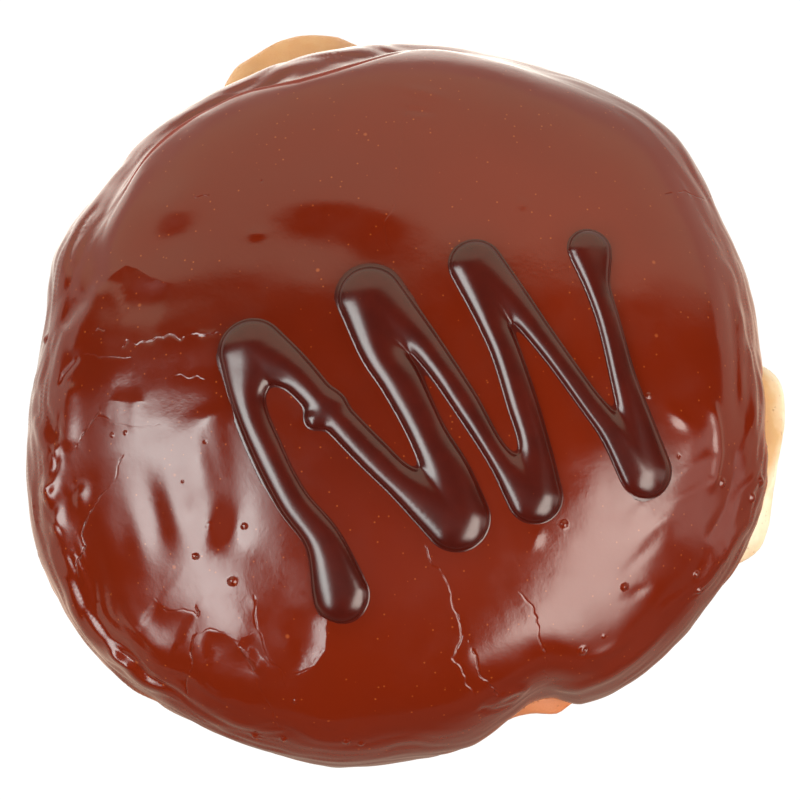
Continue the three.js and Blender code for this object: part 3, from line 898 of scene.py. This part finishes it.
NUB = [[-8.6, -5.6, 1.3], [-9.6, -6.6, 1.2], [-10.6, -7.3, 1.15]]
STROKE_BLEND = 1.3
OUTLINE_BLUR = 0.22
WIDTH_BLUR = 0.9
FIELD_PITCH = 0.15
FOOT_WIDTH = 0.45
FOOT_RISE = 0.12
DRIZZLE_SINK = 0.4
DRIZZLE_PITCH = 0.9
FOOT_SINK = 0.03
BEAD_POWER = 2.1  # fullness of a bead across, and of its flanks
FLANK_POWER = 1.75


def stroke_field(spots, stroke):
    """The distance outside a stroke's outline and its half width nearby."""
    path = smooth_path(stroke, 9)
    path[:, :2] = plan_to_map(path[:, 0], path[:, 1])
    outside = np.full(len(spots), np.inf)
    half = np.zeros(len(spots))
    for start, end, _, _, t, distance in along_steps(spots, path):
        width = start[2] + (end[2] - start[2]) * t
        beyond = distance - width
        nearer = beyond < outside
        outside[nearer] = beyond[nearer]
        half[nearer] = width[nearer]
    return outside, half


def blurred(grid, spread):
    """A grid smoothed by a bell curve of this spread, in cells."""
    reach = int(3 * spread)
    weights = np.exp(-0.5 * (np.arange(-reach, reach + 1) / spread) ** 2)
    weights /= weights.sum()
    for axis in (0, 1):
        padded = np.pad(grid, [(reach, reach) if k == axis else (0, 0) for k in (0, 1)], "edge")
        length = grid.shape[axis]
        grid = sum(w * np.take(padded, np.arange(k, k + length), axis)
                   for k, w in enumerate(weights))
    return grid


class DrizzleField:
    """The zigzag's strokes melted together, on a fine grid over the icing's map."""

    def __init__(self):
        points = np.array([point for stroke in STROKES for point in stroke])
        centres = plan_to_map(points[:, 0], points[:, 1])
        self.low, self.high = centres.min(0) - 8, centres.max(0) + 8
        steps = [np.arange(self.low[k], self.high[k], FIELD_PITCH) for k in (0, 1)]
        x, y = np.meshgrid(*steps, indexing="ij")
        spots = np.stack([x.ravel(), y.ravel()], 1)
        past_turn = np.min([np.hypot(*(spots - plan_to_map(x, y)).T) - width
                            for x, y, width in TURNS], axis=0)
        blend = STROKE_BLEND * smoothstep(past_turn, 0, 2.5) + 0.02
        outside, half = stroke_field(spots, STROKES[0])
        for stroke in STROKES[1:] + [NUB]:
            beyond, width = stroke_field(spots, stroke)
            share = np.clip(0.5 + 0.5 * (outside - beyond) / blend, 0, 1)
            outside = outside * (1 - share) + beyond * share - blend * share * (1 - share)
            half = half * (1 - share) + width * share
        self.outside = blurred(outside.reshape(x.shape), OUTLINE_BLUR / FIELD_PITCH)
        self.half = blurred(half.reshape(x.shape), WIDTH_BLUR / FIELD_PITCH)

    def at(self, spots, grid):
        """A grid's value between its cells, on smooth curves through them."""
        cell = np.clip((spots - self.low) / FIELD_PITCH, 1, np.array(grid.shape) - 3.001)
        base = np.floor(cell).astype(int)
        t = cell - base
        total = 0
        for i in range(-1, 3):
            for j in range(-1, 3):
                weight = cubic_weight(t[:, 0] - i) * cubic_weight(t[:, 1] - j)
                total = total + weight * grid[base[:, 0] + i, base[:, 1] + j]
        return total

    def distance(self, spots):
        """Distance outside the outline."""
        return self.at(spots, self.outside)

    def height(self, spots):
        """Height of the drizzle over the icing, foot included."""
        outside, half = self.distance(spots), self.at(spots, self.half)
        inside = np.clip(-outside / half, 0, 1)
        rise = BEAD_BASE_RISE + BEAD_RISE * half - FOOT_RISE
        bead = rise * (1 - (1 - inside) ** BEAD_POWER) ** (1 / FLANK_POWER)
        return bead + FOOT_RISE * np.clip(1 - outside / FOOT_WIDTH, 0, 1) ** 2


def cubic_weight(distance):
    d = np.abs(distance)
    near = 1.5 * d**3 - 2.5 * d**2 + 1
    far = -0.5 * d**3 + 2.5 * d**2 - 4 * d + 2
    return np.where(d <= 1, near, np.where(d < 2, far, 0))


def kept_part(spots, triangles, keep):
    """The kept triangles and only the spots that they use."""
    used, flat = np.unique(triangles[keep], return_inverse=True)
    return spots[used], flat.reshape(-1, 3)


def make_drizzle(field):
    counts = ((field.high - field.low) / DRIZZLE_PITCH).astype(int)
    column, row = np.meshgrid(np.arange(counts[0]), np.arange(counts[1]), indexing="ij")
    spots = np.stack([column + 0.5 * (row % 2), row], -1).reshape(-1, 2) * DRIZZLE_PITCH
    spots = field.low + spots
    index = np.arange(column.size).reshape(column.shape)
    a, b, c, d = index[:-1, :-1], index[1:, :-1], index[1:, 1:], index[:-1, 1:]
    odd = (row[:-1, :-1] % 2 == 1)[..., None]
    first = np.where(odd, np.stack([a, b, c], -1), np.stack([a, b, d], -1))
    second = np.where(odd, np.stack([a, c, d], -1), np.stack([b, c, d], -1))
    triangles = np.concatenate([first.reshape(-1, 3), second.reshape(-1, 3)])

    def target(places):
        away = np.abs(field.distance(places) + 0.05)
        return np.clip(0.13 + 0.4 * (away - 0.4), 0.13, 0.32)

    border = FOOT_WIDTH * 1.05
    changed = True
    while changed:
        near = (field.distance(spots)[triangles] < border + 1.0).any(axis=1)
        spots, triangles = kept_part(spots, triangles, near)
        spots, triangles, changed = split_long_edges(spots, triangles, target)
    near = (field.distance(spots)[triangles] < border).any(axis=1)
    while True:  # no spot where the border touches itself
        starts, times = np.unique(border_edges(triangles[near])[:, 0], return_counts=True)
        if times.max() == 1:
            break
        near |= np.isin(triangles, starts[times > 1]).any(axis=1)
    spots, triangles = kept_part(spots, triangles, near)
    step = 0.02
    for _ in range(3):  # the outermost spots move onto the foot's border
        away = field.distance(spots)
        beyond = np.where(away > border)[0]
        here = spots[beyond]
        slope = np.stack([
            field.distance(here + offset) - field.distance(here - offset)
            for offset in (np.array([step, 0]), np.array([0, step]))
        ], 1) / (2 * step)
        slope /= np.maximum((slope**2).sum(1, keepdims=True), 0.2)
        spots[beyond] -= slope * (away[beyond] - border)[:, None]
    normals = icing_normals(spots)
    base = icing_shell(spots) + normals * soft_relief(spots)[:, None]
    top = base + normals * (field.height(spots) - FOOT_SINK)[:, None]
    loop = border_loop(triangles)
    under = (base - normals * DRIZZLE_SINK)[loop]
    wall_loop = len(top) + np.arange(len(loop))
    points, triangles = close_with_rows(top, triangles, loop, [under])
    flat = tessellate_polygon([[Vector((x, y, 0)) for x, y in spots[loop]]])
    bottom = wall_loop[np.array(flat)]
    a, b, c = (points[bottom[:, k]] for k in range(3))
    facing_up = np.cross(b - a, c - a)[:, 2] > 0
    bottom[facing_up] = bottom[facing_up][:, ::-1]
    triangles = np.concatenate([triangles, bottom])
    return make_piece("drizzle", points, triangles, drizzle_material())


# ---- the bun ------------------------------------------------------------------------------------

BUN_COLUMNS = 360
BUN_HIDDEN_ROWS = 12
BUN_ROWS = 120
BUN_LAST_FALL = 177


def dough_relief(azimuth, fall):
    """Lumps and fine creases of the fried crust."""
    radians = np.radians(azimuth)
    way = way_down(fall)
    round_plan = np.stack([np.cos(radians), np.sin(radians)], -1) * (10 + way)[..., None]
    return (0.30 * noise(round_plan, 13, 41) + 0.16 * noise(round_plan, 5, 42)
            + 0.07 * noise(round_plan, 2.1, 43) + 0.03 * noise(round_plan, 1.0, 44))


def make_bun():
    inset = ICING_THICKNESS + FIT_GAP
    azimuth = np.arange(BUN_COLUMNS) * 360 / BUN_COLUMNS
    edge = icing_edge(azimuth)
    tucked = edge + TUCK_SPREAD
    covered = round_table(OUTLINE, 1, azimuth) - inset
    dough = round_table(OUTLINE, 2, azimuth)
    rows = [np.array([[0, 0, WIDEST_LEVEL + CROWN_HEIGHT - inset]])]
    falls = [edge * (k + 1) / BUN_HIDDEN_ROWS for k in range(BUN_HIDDEN_ROWS - 1)]
    falls += [edge + (BUN_LAST_FALL - edge) * k / BUN_ROWS for k in range(BUN_ROWS + 1)]
    edge_way = [np.zeros(1)]
    for fall in falls:
        swell = smoothstep(fall, tucked, tucked + SWELL_SPREAD)
        shown = smoothstep(fall, tucked + 2, tucked + 6) * smoothstep(165 - fall, 0, 20)
        radius = covered + (dough - covered) * swell + dough_relief(azimuth, fall) * shown
        rows.append(shell_points(azimuth, fall, radius, inset))
        edge_way.append(np.maximum(0, way_down(fall) - way_down(edge)))
    rows.append(np.array([[0, 0, 0.0]]))
    edge_way.append(np.full(1, 60.0))
    points = np.concatenate(rows[:2])
    first = 1 + np.arange(BUN_COLUMNS)
    triangles = np.stack([np.zeros(BUN_COLUMNS, int), first, np.roll(first, -1)], 1)
    points, triangles = close_with_rows(points, triangles, first, rows[2:])
    return make_piece("fried_bun", points, triangles, dough_material(),
                      edge_way=np.concatenate(edge_way))


# ---- floor, lights, camera ----------------------------------------------------------------------

# Soft lamps, as windows of the sky: radiance at the near and the far side, and the straight edges
# round them, each as a direction inwards, how far along it the edge is, and its softness
LAMPS = [
    (11.8, 10.6, [((0.92, 0.39), -0.80, 0.09), ((-1, 0), 0.48, 0.04), ((0, -1), -0.13, 0.05),
                  ((0, 1), -0.68, 0.07)]),
    (3.0, 3.0, [((1, 0), -0.55, 0.05), ((-1, 0), 0.36, 0.04), ((0, -1), -0.08, 0.05),
                ((0, 1), -0.22, 0.08)]),
    (7.5, 8.3, [((0.95, -0.32), 0.50, 0.04), ((-1, 0), -0.80, 0.05), ((-0.78, 0.62), -0.94, 0.06),
                 ((-0.29, -0.96), -0.16, 0.05), ((0, 1), -0.74, 0.09)]),
    (1.4, 1.4, [((1, 0), 0.60, 0.06), ((0, -1), -0.02, 0.08), ((0, 1), -0.30, 0.10)]),
]
BACKDROP_RADIANCE = 1.2
FILL_RADIANCE = 0.20
SKY_RADIANCE = 0.03


FILL_FROM = (0, -0.25, 0.97)
FLOOR_REACH = 4
FLOOR_SHADE = 0.02
FLOOR_DAYLIGHT = 0.6
FLOOR_FRONT_TINT = (1, 0.74, 0.56)
FLOOR_BACK_TINT = (1, 0.94, 0.84)
LEFT_TINT = (0.92, 1, 0.98)
RIGHT_TINT = (1.08, 1, 0.91)
BACKDROP_TINT = (1.04, 0.98, 0.74)
WHITE = (1, 1, 1)


def make_floor():
    """White for the camera. The doughnut mirrors it dark towards the front, brighter towards the
    back and close by, and is lit by it evenly."""
    mesh = bpy.data.meshes.new("floor")
    corners = np.array([(-1, -1, 0), (1, -1, 0), (1, 1, 0), (-1, 1, 0)]) * FLOOR_REACH
    mesh.from_pydata(corners.tolist(), [], [(0, 1, 2, 3)])
    floor = bpy.data.objects.new("floor", mesh)
    bpy.context.collection.objects.link(floor)
    shades = Shades("pale_floor", 0.9)
    shades.shader.inputs["Base Color"].default_value = (FLOOR_SHADE,) * 3 + (1,)
    away = shades.add("VectorMath", {0: shades.place()}, "Value", operation="LENGTH")
    way = shades.add("VectorMath", {0: shades.place()}, "Vector", operation="NORMALIZE")
    back = shades.dot(way, -0.35, 0.94)
    behind = shades.math("MULTIPLY", shades.share(away, 0.20, 0.10),
                         shades.share(back, 0.62, 0.95, 0, 2.4))
    glow = shades.math("ADD", shades.share(back, -0.75, -0.15, 0.03, 0.80), behind)
    glow = shades.math("ADD", glow, shades.share(away, 0.11, 0.06, 0, 0.42))
    lit = shades.add("LightPath", {}, "Is Diffuse Ray")
    glow = shades.add("Mix", {"Factor": lit, "A": glow, "B": FLOOR_DAYLIGHT})
    seen = shades.add("LightPath", {}, "Is Camera Ray")
    tint = shades.mix(shades.share(back, -0.3, 0.7), FLOOR_FRONT_TINT, FLOOR_BACK_TINT)
    shades.put(shades.mix(seen, tint, WHITE), "Emission Color")
    shades.put(shades.add("Mix", {"Factor": seen, "A": glow, "B": 1}), "Emission Strength")
    mesh.materials.append(shades.material)


def make_world():
    """Dark all round but for a bright backdrop and the soft lamps, and white for the camera."""
    world = bpy.data.worlds.new("studio")
    bpy.context.scene.world = world
    world.use_nodes = True
    shades = Shades("studio", 0, world.node_tree)
    way = shades.add("TexCoord", {}, "Generated")
    glow = shades.share(shades.dot(way, 0, 1), 0.40, 0.50, SKY_RADIANCE, BACKDROP_RADIANCE)
    offset = shades.add("VectorMath", {0: way, 1: FILL_FROM}, "Value", operation="DISTANCE")
    glow = shades.math("ADD", glow, shades.share(offset, 0.5, 0, 0, FILL_RADIANCE))
    for near, far, edges in LAMPS:
        lamp = shades.share(shades.dot(way, 0.7, 0.7), -0.2, 0.5, far, near)
        for (x, y), start, softness in edges:
            inside = shades.share(shades.dot(way, x, y), start - softness, start + softness)
            lamp = shades.math("MULTIPLY", lamp, inside)
        glow = shades.math("ADD", glow, lamp)
    seen = shades.add("LightPath", {}, "Is Camera Ray")
    shades.put(shades.add("Mix", {"Factor": seen, "A": glow, "B": 1}), "Strength")
    tint = shades.mix(shades.share(shades.dot(way, 1, 0), -0.2, 0.3), LEFT_TINT, RIGHT_TINT)
    tint = shades.mix(shades.share(shades.dot(way, 0, 1), 0.25, 0.45), tint, BACKDROP_TINT)
    shades.put(tint, "Color")


CAMERA_ELEVATION = 76
CAMERA_DISTANCE = 0.6
CAMERA_LENS = 221.4
CAMERA_TARGET = ((AXIS_X - 0.61) * MM, AXIS_Y * MM, 18.6 * MM)


def make_camera():
    camera = bpy.data.objects.new("camera", bpy.data.cameras.new("camera"))
    bpy.context.collection.objects.link(camera)
    up = math.radians(CAMERA_ELEVATION)
    back = Vector((0, -math.cos(up), math.sin(up)))
    camera.location = Vector(CAMERA_TARGET) + back * CAMERA_DISTANCE
    camera.rotation_mode = "QUATERNION"
    camera.rotation_quaternion = (-back).to_track_quat("-Z", "Y")
    camera.data.lens = CAMERA_LENS
    camera.data.sensor_width = 36
    bpy.context.scene.camera = camera


bpy.context.scene.view_settings.view_transform = "Standard"
make_camera()
make_floor()
make_world()

drizzle_field = DrizzleField()
for piece, node, slot in (
    (make_bun(), "bun", "dough"),
    (make_coat(drizzle_field), "icing", "icing"),
    (make_drizzle(drizzle_field), "icing", "drizzle"),
):
    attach(piece, "root")
    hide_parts(node)
